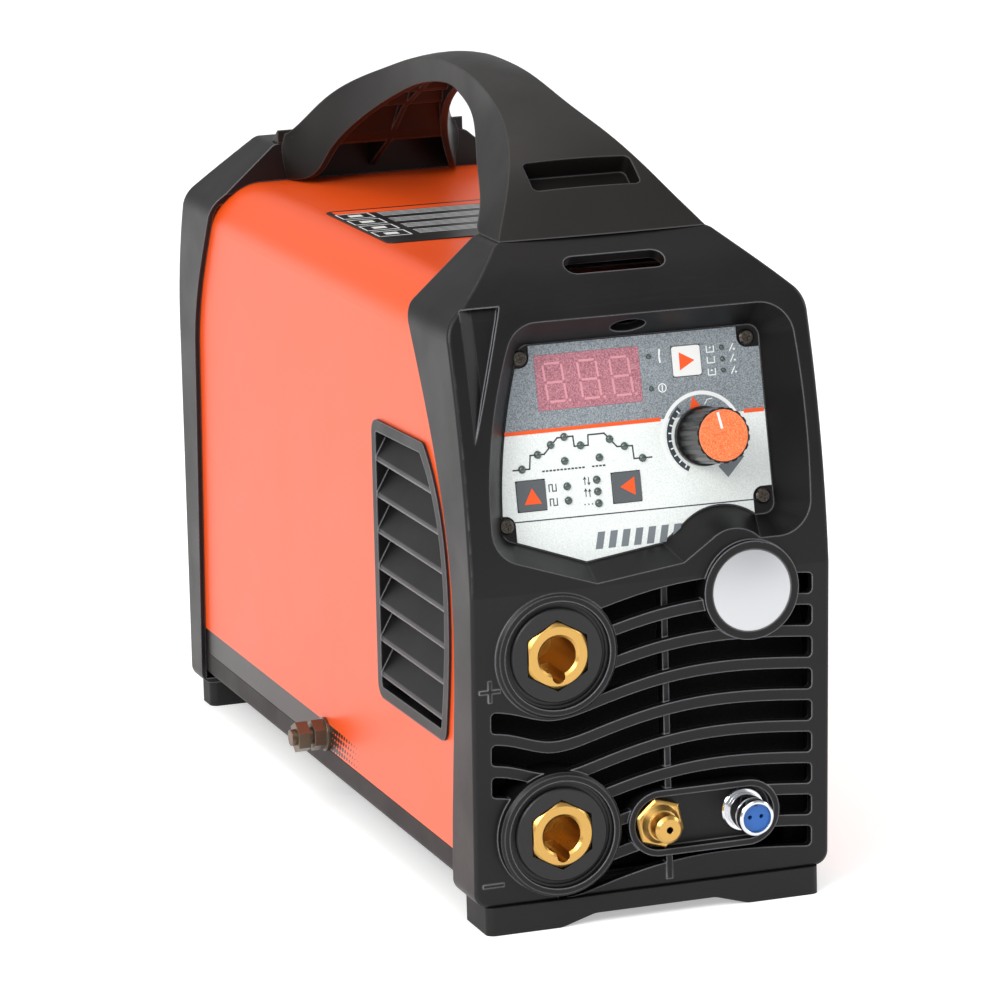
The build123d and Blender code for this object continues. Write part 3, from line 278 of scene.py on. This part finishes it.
def label_paint(n, patches, speck):
    """Speckled grey above the stripe, silver below it."""
    height = n.axes()[2]
    above = n.math("GREATER_THAN", height, STRIPE_Z * MM)
    grey = n.mix(n.spread(speck, 0, 1, 0.38, 0.62), linear(104, 112, 118), linear(152, 160, 166))
    silver = n.mix(n.spread(speck, 0, 1, 0.3, 0.7), linear(212, 219, 217), linear(236, 241, 239))
    return n.mix(above, silver, grey)


def window_paint(n, patches, speck):
    """Speckled red film of the display."""
    return n.mix(n.spread(speck, 0, 1, 0.35, 0.65), linear(142, 82, 95), linear(192, 134, 145))


def cap_paint(n, patches, speck):
    """Speckled orange of the knob's cap."""
    return n.mix(n.spread(speck, 0, 1, 0.3, 0.7), linear(222, 84, 38), linear(242, 142, 88))


def sheet_paint(n, patches, speck):
    """Orange powder coat, a band of closing dots low on both sides, and painted shade on the faces within
    the cover.
    """
    x, y, z = n.axes()
    along = n.math("SUBTRACT", y, DATUM.y)
    aside = n.math("ABSOLUTE", n.math("SUBTRACT", x, DATUM.x))
    pitch = DOT_PITCH * MM
    u = n.math("DIVIDE", n.math("ADD", along, n.math("MULTIPLY", z, DOT_SLANT)), pitch)
    v = n.math("DIVIDE", z, pitch * DOT_ROW)
    du = n.math("SUBTRACT", n.math("FRACT", u), 0.5)
    dv = n.math("SUBTRACT", n.math("FRACT", v), 0.5)
    reach = n.math("SQRT", n.math("ADD", n.math("MULTIPLY", du, du), n.math("MULTIPLY", dv, dv)))
    growth = n.spread(along, 0.0, DOT_REACH, BAND_START * MM, BAND_FULL * MM)
    ink = n.math("LESS_THAN", reach, growth)
    for test, value, limit in (
        ("GREATER_THAN", z, BAND_LOW * MM), ("LESS_THAN", z, BAND_HIGH * MM),
        ("GREATER_THAN", aside, (SIDE - BAND_SKIN) * MM),
    ):
        ink = n.math("MULTIPLY", ink, n.math(test, value, limit))
    orange = n.mix(patches, linear(232, 80, 22), linear(235, 84, 25))
    outside = n.mix(ink, orange, linear(20, 18, 18))

    # A face that looks back at the middle of the casing faces into the cover; these faces get painted
    # shade, near black
    face = n.add("ShaderNodeNewGeometry").outputs["True Normal"]
    to_middle = tuple(-c for c in at(0, 0, CASING_MIDDLE))
    outward = n.vector("ADD", n.place, to_middle).outputs["Vector"]
    across = n.vector("MULTIPLY", outward, (1, 0, 1)).outputs["Vector"]
    facing = n.vector("DOT_PRODUCT", across, face).outputs["Value"]
    shade_within = n.math("LESS_THAN", facing, 0.0)
    return n.mix(shade_within, outside, linear(20, 20, 22))


# The lighter edge colours given below are painted highlights along the rounded edges
LOOKS = {
    "casing_plastic": surface("casing_plastic", linear(15, 14, 15), 0.40, depth=0.010, edge=0.9,
                              edge_highlight=linear(146, 146, 152), gain=2.7, specular=0.28),
    "handle_plastic": surface("handle_plastic", linear(20, 18, 17), 0.42, depth=0.010, edge=1.0,
                              edge_highlight=linear(104, 102, 102), gain=2.0, specular=0.27),
    "foot_plastic": surface("foot_plastic", linear(20, 19, 19), 0.55, depth=0.012, edge=0.6,
                            edge_highlight=linear(60, 60, 62), specular=0.3),
    "sheet_orange": surface("sheet_orange", sheet_paint, 0.34, grain=0.9, depth=0.002, edge=0,
                            specular=0.42, uneven=0.012),
    "tray_steel": surface("tray_steel", linear(25, 21, 21), 0.5, grain=0.5, edge=0.4,
                          edge_highlight=linear(96, 92, 90), specular=0.2),
    "label_film": surface("label_film", label_paint, 0.34, grain=0.45, depth=0.003, edge=0.2),
    "window_red": surface("window_red", window_paint, 0.22, grain=0.5, depth=0.002, edge=0.2, coat=0.4),
    "knob_black": surface("knob_black", linear(13, 13, 14), 0.32, depth=0.0005, edge=0, coat=0.15),
    "knob_orange": surface("knob_orange", cap_paint, 0.4, grain=0.5, depth=0.012, edge=0.3),
    "white_plastic": surface("white_plastic", linear(226, 227, 226), 0.4, grain=0.6, depth=0.004,
                             tone=0.04, edge=0.3),
    "grey_plastic": surface("grey_plastic", linear(84, 89, 93), 0.45, grain=0.5, depth=0.006, edge=0.3,
                            edge_highlight=linear(120, 126, 130)),
    "led_lens": surface("led_lens", linear(60, 76, 72), 0.15, depth=0.001, coat=0.8, edge=0.1),
    "brass": surface("brass", linear(206, 164, 92), 0.3, metallic=1.0, grain=0.8, depth=0.004, edge=0.4,
                     edge_highlight=linear(236, 208, 150)),
    "chrome": surface("chrome", linear(222, 224, 228), 0.14, metallic=1.0, grain=0.8, depth=0.002,
                      edge=0.3),
    "blue_plastic": surface("blue_plastic", linear(28, 92, 170), 0.35, depth=0.003, edge=0.3,
                            edge_highlight=linear(80, 140, 205)),
    "zinc_steel": surface("zinc_steel", linear(178, 180, 182), 0.3, metallic=1.0, grain=0.6, depth=0.006,
                          edge=0.3, edge_highlight=linear(222, 224, 226)),
    "dark_screw": surface("dark_screw", linear(88, 82, 76), 0.3, metallic=1.0, grain=0.5, depth=0.004,
                          edge=0.2, edge_highlight=linear(210, 204, 196)),
    "aluminium": surface("aluminium", linear(196, 198, 202), 0.34, metallic=1.0, grain=0.7, depth=0.006,
                         edge=0.3),
    "circuit_board": surface("circuit_board", linear(22, 84, 48), 0.4, grain=0.9, edge=0.2),
    "copper": surface("copper", linear(206, 120, 78), 0.3, metallic=1.0, grain=0.8, edge=0.3),
    "ferrite": surface("ferrite", linear(44, 44, 48), 0.6, grain=0.4, depth=0.02, edge=0.4),
    "component_black": surface("component_black", linear(22, 22, 24), 0.42, depth=0.006, edge=0.5,
                               edge_highlight=linear(72, 72, 76), specular=0.42),
    "capacitor_sleeve": surface("capacitor_sleeve", linear(24, 28, 52), 0.35, depth=0.002, edge=0.5),
    "hose_rubber": surface("hose_rubber", linear(28, 30, 34), 0.6, depth=0.01, edge=0.3),
}
SILVER_DOME = surface("badge_silver", linear(202, 204, 207), 0.42, metallic=1.0, grain=0.3, depth=0.004,
                      tone=0.03, edge=0.3)
# Foam behind the grille, made near black as painted shade of the casing's inside seen through the slots
FOAM_SHADE = surface("foam_shade", linear(15, 15, 16), 0.9, grain=1.4, depth=0.4, edge=0, specular=0.1)
DULL_BOLT = surface("dull_bolt", linear(112, 102, 88), 0.36, metallic=1.0, grain=0.5, depth=0.008,
                    edge=0.3, edge_highlight=linear(196, 188, 172))
TOP_LABEL = surface("top_label", linear(30, 30, 32), 0.36, grain=0.8, depth=0.003, edge=0.2)
INK_DARK = surface("ink_dark", linear(52, 60, 66), 0.4, depth=0.001, edge=0.02)
INK_GREY = surface("ink_grey", linear(112, 120, 126), 0.4, depth=0.001, edge=0.02)
INK_WHITE = surface("ink_white", linear(232, 235, 235), 0.4, depth=0.001, edge=0.02)
INK_ORANGE = surface("ink_orange", linear(240, 86, 28), 0.4, grain=0.5, depth=0.002, edge=0.02)
INK_ROSE = surface("ink_rose", linear(206, 142, 152), 0.35, depth=0.001, edge=0.02)

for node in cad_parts.values():
    for slot in node.material_slots:
        slot.material = LOOKS[slot.material.name.split(".")[0]]

# Pieces that look unlike the rest of their slot
SPECIAL_LOOKS = {
    "badge_disc": SILVER_DOME, "top_plate": TOP_LABEL, "earth_stud": DULL_BOLT, "earth_nuts": DULL_BOLT,
    "grille_filter": FOAM_SHADE,
}
for name, look in SPECIAL_LOOKS.items():
    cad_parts[name].material_slots[0].material = look


# ---------------------------------------------------------------------------
# Printed shapes
# ---------------------------------------------------------------------------
OVERRUN = 0.9                            # how far a run passes its ends, in half widths


def stroke(points, width):
    """Rectangles along a line of points, one for each run."""
    shapes = []
    for (x0, z0), (x1, z1) in zip(points, points[1:]):
        run = Vector((x1 - x0, z1 - z0))
        along = run.normalized() * width / 2
        across = Vector((-along.y, along.x))
        a, b = Vector((x0, z0)) - along * OVERRUN, Vector((x1, z1)) + along * OVERRUN
        shapes.append([a - across, b - across, b + across, a + across])
    return shapes


def rectangle(x, z, width, height, lean=0.0):
    """Rectangle round a centre, its top moved aside by lean."""
    half = width / 2
    low, high = z - height / 2, z + height / 2
    return [(x - half, low), (x + half, low), (x + half + lean, high), (x - half + lean, high)]


def frame_shape(x, z, width, height, line):
    """The four sides of a rectangle."""
    corners = rectangle(x, z, width, height)
    return stroke(corners + corners[:1], line)


def band(centre, inner, outer, start, end, steps):
    """Part of a ring, from start to end degrees."""
    angles = [radians(start + (end - start) * i / steps) for i in range(steps + 1)]
    rim = [(centre[0] + outer * cos(a), centre[1] + outer * sin(a)) for a in angles]
    hole = [(centre[0] + inner * cos(a), centre[1] + inner * sin(a)) for a in reversed(angles)]
    return rim + hole


def disc(x, z, radius, steps):
    """Round dot with a number of corners."""
    turns = [2 * pi * i / steps for i in range(steps)]
    return [(x + radius * cos(a), z + radius * sin(a)) for a in turns]


def printed(name, shapes, place, material, body="machine", height=INK):
    """One piece from flat outlines, each a thin closed slab on a face."""
    mesh = bpy.data.meshes.new(name)
    bm = bmesh.new()
    for outline in shapes:
        low = [bm.verts.new(place(p[0], p[1], INK_SINK)) for p in outline]
        high = [bm.verts.new(place(p[0], p[1], height)) for p in outline]
        bm.faces.new(high)
        bm.faces.new(list(reversed(low)))
        for i in range(len(outline)):
            j = (i + 1) % len(outline)
            bm.faces.new([low[i], low[j], high[j], high[i]])
    bmesh.ops.recalc_face_normals(bm, faces=bm.faces)
    bm.to_mesh(mesh)
    bm.free()
    return placed(name, mesh, material, body)


def placed(name, mesh, material, body="machine"):
    """Object of a finished mesh that rides a body."""
    piece = bpy.data.objects.new(name, mesh)
    bpy.context.scene.collection.objects.link(piece)
    mesh.materials.append(material)
    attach(piece, body)
    return piece


def dark_print():
    """Wave line, rule, pulse and arrow signs, dashes and the scale's dark arc."""
    wave = [
        (-41.9, 156.3), (-36.0, 156.3), (-35.4, 160.7), (-30.4, 160.7), (-25.3, 165.6), (-19.7, 165.7),
        (-19.5, 162.3), (-14.5, 162.2), (-14.3, 165.6), (-8.5, 165.6), (-4.3, 160.8), (1.2, 160.6),
        (1.4, 156.3), (7.8, 156.2),
    ]
    rule = [(-44.8, 139.3), (43.5, 138.7)]
    shapes = stroke(wave, 0.5) + stroke(rule, 0.4)

    pulse = [(-1.5, -1.1), (-1.5, 1.1), (-0.3, 1.1), (-0.3, -1.1), (1.0, -1.1), (1.0, 1.1)]
    for x, z in ((-28.3, 149.4), (-28.3, 144.7)):
        shapes += stroke([(x + a, z + b) for a, b in pulse], 0.35)

    half, barb_x, barb_z = 1.2, 0.45, 0.5
    for x, z, way in ((-16.9, 150.6, 1), (-15.5, 150.4, -1), (-16.9, 146.7, 1), (-15.5, 146.5, 1)):
        tip = (x, z + half * way)
        barbs = [(x + side * barb_x, z + barb_z * way) for side in (-1, 1)]
        shapes += stroke([(x, z - half), (x, z + half)], 0.3)
        shapes += stroke([barbs[0], tip, barbs[1]], 0.25)
    shapes += [disc(x, 142.8, 0.25, 8) for x in (-17.6, -16.2, -14.9)]

    dash_pitch = 1.3
    for start, end in ((-31.2, -15.6), (-13.4, -7.8)):
        count = round((end - start) / dash_pitch)
        shapes += [rectangle(start + dash_pitch * i, 155.1, 0.9, 0.55) for i in range(count)]
    shapes.append(band(DIAL, **SCALE_ARC))
    return shapes


def grey_print():
    """Pointed corner of the scale and a row of slanted bars."""
    corner = [(31.5, 150.9), (34.7, 146.9), (41.2, 153.4), (38.0, 155.5)]
    places = [BAR_START + BAR_PITCH * i for i in range(BARS)]
    return [corner] + [rectangle(x, BAR_Z, BAR_WIDTH, BAR_HEIGHT, BAR_LEAN) for x in places]


def white_print():
    """Ring and ticks of the scale, and the signs beside the small lights."""
    shapes = [band(DIAL, **SCALE_RING)]
    for tick in range(TICKS):
        angle = radians(TICK_START + TICK_STEP * tick)
        ends = [(DIAL[0] + r * cos(angle), DIAL[1] + r * sin(angle)) for r in TICK_RADII]
        shapes += stroke(ends, 0.45)

    shapes += stroke([(13.9, 187.2), (13.7, 189.0), (14.0, 191.3)], 0.6)
    shapes.append(band((13.9, 178.6), 1.2, 1.55, 0, 360, 24))
    shapes += stroke([(13.9, 177.8), (13.9, 179.4)], 0.4)

    for z, dotted in ((189.9, True), (186.3, False), (182.3, True)):
        tray = [(31.0, z + 1.0), (31.0, z - 1.0), (33.6, z - 1.0), (33.6, z + 1.0)]
        shapes += stroke(tray, 0.35)
        if dotted:
            shapes.append(disc(32.3, z + 0.5, 0.3, 10))
        shapes += stroke([(39.4, z - 1.1), (40.7, z + 1.1)], 0.35)
        shapes.append(disc(41.0, z - 0.7, 0.35, 10))
    shapes += stroke([(28.6, 171.9), (29.6, 173.4), (31.4, 173.6)], 0.3)
    return shapes


def orange_print():
    """Stripe across the label, broken by the scale, and the scale's pointer."""
    spans = ((-15.8, 56.0), (46.2, 7.4))
    pointer = [(22.9, 170.4), (27.3, 170.9), (24.4, 174.9)]
    return [rectangle(x, STRIPE_Z, width, STRIPE_HEIGHT) for x, width in spans] + [pointer]


def panel_print():
    """The four inks of the label."""
    for ink, shapes, material, height in (
        ("dark", dark_print(), INK_DARK, INK),
        ("grey", grey_print(), INK_GREY, INK),
        ("white", white_print(), INK_WHITE, WHITE_INK),
        ("orange", orange_print(), INK_ORANGE, ORANGE_INK),
    ):
        printed("panel_print_" + ink, shapes, on_panel, material, height=height)


def button_marks():
    """A triangle on each push button, riding with it."""
    def on_button(x, z, lift):
        return on_panel(x, z, lift + BUTTON_RISE)

    triangles = {
        "button_select": [(20.8, 189.8), (26.2, 186.8), (20.7, 183.8)],
        "button_up": [(-36.0, 150.0), (-39.1, 144.7), (-32.9, 144.7)],
        "button_left": [(0.7, 150.4), (-4.6, 147.4), (0.7, 144.3)],
    }
    for body, outline in triangles.items():
        printed("mark_" + body, [outline], on_button, INK_ORANGE, body)


def display_digits():
    """Three unlit seven-segment digits, with their points, on the window."""
    low, middle, high = DIGIT_LOW, DIGIT_LOW + DIGIT_HEIGHT / 2, DIGIT_LOW + DIGIT_HEIGHT
    shapes = []
    for centre in DIGIT_CENTRES:
        left, right = centre - DIGIT_WIDTH / 2, centre + DIGIT_WIDTH / 2
        runs = [
            ((left, low), (right, low)), ((left, middle), (right, middle)), ((left, high), (right, high)),
            ((left, low), (left, middle)), ((left, middle), (left, high)),
            ((right, low), (right, middle)), ((right, middle), (right, high)),
        ]
        for start, end in runs:
            a, b = Vector(start), Vector(end)
            gap = (b - a).normalized() * SEGMENT_GAP
            ends = [(p.x - (p.y - middle) * DIGIT_LEAN, p.y) for p in (a + gap, b - gap)]
            shapes += stroke(ends, SEGMENT_WIDTH)
        shapes.append(disc(right + POINT_ASIDE, low, POINT_RADIUS, 12))
    printed("display_digits", shapes, on_panel, INK_ROSE, height=DIGIT_INK)


def led_domes():
    """Domed lenses over the status lights."""
    mesh = bpy.data.meshes.new("led_domes")
    bm = bmesh.new()
    lenses = [(p, LARGE_DOME) for p in WAVE_LEDS + MODE_LEDS]
    lenses += [(p, SMALL_DOME) for p in SMALL_LEDS]
    steps = DOME_STEPS
    turns = [2 * pi * i / steps for i in range(steps)]
    for (x, z), radius in lenses:
        profile = [(radius, DOME_FOOT), (radius, DOME_RISE)]
        for climb in map(radians, DOME_CLIMB):
            profile.append((radius * cos(climb), DOME_RISE + radius * DOME_CURVE * sin(climb)))
        rings = []
        for r, lift in profile:
            rings.append([bm.verts.new(on_panel(x + r * cos(a), z + r * sin(a), lift)) for a in turns])
        for lower, upper in zip(rings, rings[1:]):
            for i in range(steps):
                j = (i + 1) % steps
                bm.faces.new([lower[i], lower[j], upper[j], upper[i]])
        bm.faces.new(rings[0])
        tip = bm.verts.new(on_panel(x, z, DOME_RISE + radius * DOME_TIP))
        for i in range(steps):
            bm.faces.new([rings[-1][i], rings[-1][(i + 1) % steps], tip])
    bmesh.ops.recalc_face_normals(bm, faces=bm.faces)
    for face in bm.faces:
        face.smooth = len(face.verts) <= 4
    bm.to_mesh(mesh)
    bm.free()
    domes = placed("led_domes", mesh, LOOKS["led_lens"])
    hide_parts("status_leds")


def top_print():
    """Plain blocks and lines on the plate under the handle."""
    pale = []
    for row in range(PLATE_ROWS):
        block_y = PLATE_FIRST_ROW + PLATE_ROW_PITCH * row
        pale += frame_shape(PLATE_BLOCK_X, block_y, 12.0, 10.5, 0.5)
        pale.append(rectangle(PLATE_BLOCK_X, block_y, 5.0, 4.0))
        for line in range(PLATE_LINES):
            line_y = PLATE_FIRST_LINE + PLATE_ROW_PITCH * row + PLATE_LINE_PITCH * line
            pale += stroke([(x, line_y) for x in PLATE_LINE_ENDS], 0.35)
    heading = rectangle(-5.0, 202.5, 76.0, 6.5)
    printed("top_plate_print", pale, on_top, INK_WHITE)
    printed("top_plate_heading", [heading], on_top, INK_ORANGE)


panel_print()
button_marks()
display_digits()
led_domes()
top_print()


# ---------------------------------------------------------------------------
# Floor, light and camera
# ---------------------------------------------------------------------------
def pale_floor():
    """White ground that fades into the white world."""
    mesh = bpy.data.meshes.new("floor")
    bm = bmesh.new()
    bmesh.ops.create_circle(bm, cap_ends=True, segments=FLOOR_CORNERS, radius=FLOOR_RADIUS)
    bm.to_mesh(mesh)
    bm.free()
    floor = bpy.data.objects.new("floor", mesh)
    bpy.context.scene.collection.objects.link(floor)
    n = Nodes("floor_white")
    shade = n.mix(n.noise(3.0, 3.0), (0.80, 0.80, 0.80, 1), (0.82, 0.82, 0.82, 1))
    white = n.finish(
        Base_Color=shade, Roughness=0.8, Specular_IOR_Level=0.1,
        Emission_Color=(1, 1, 1, 1), Emission_Strength=FLOOR_GLOW,
    )
    mesh.materials.append(white)


def studio():
    """White world, one wide sun and three softboxes aimed at the machine."""
    world = bpy.data.worlds.new("studio")
    bpy.context.scene.world = world
    world.use_nodes = True
    backdrop = world.node_tree.nodes["Background"]
    backdrop.inputs["Color"].default_value = (1, 1, 1, 1)
    backdrop.inputs["Strength"].default_value = WORLD_LIGHT

    for name, kind, place, settings in LIGHTS:
        light = bpy.data.lights.new(name, kind)
        for key, value in settings.items():
            setattr(light, key, value)
        lamp = bpy.data.objects.new(name, light)
        bpy.context.scene.collection.objects.link(lamp)
        lamp.location = place
        lamp.rotation_euler = (LIGHT_AIM - Vector(place)).to_track_quat("-Z", "Y").to_euler()


def camera():
    """Long lens in front of the machine, a little to the left and above."""
    data = bpy.data.cameras.new("camera")
    data.sensor_width = CAMERA_SENSOR
    data.lens = CAMERA_LENS
    eye = bpy.data.objects.new("camera", data)
    bpy.context.scene.collection.objects.link(eye)
    heading = atan2(CAMERA_FORWARD.x, CAMERA_FORWARD.y)
    level = Vector((cos(heading), -sin(heading), 0))
    upright = level.cross(CAMERA_FORWARD)
    right = level * cos(CAMERA_ROLL) + upright * sin(CAMERA_ROLL)
    up = upright * cos(CAMERA_ROLL) - level * sin(CAMERA_ROLL)
    turn = Matrix((right, up, -CAMERA_FORWARD)).transposed().to_4x4()
    eye.matrix_world = Matrix.Translation(CAMERA_PLACE) @ turn
    bpy.context.scene.camera = eye


pale_floor()
studio()
camera()
bpy.context.scene.view_settings.view_transform = "Standard"
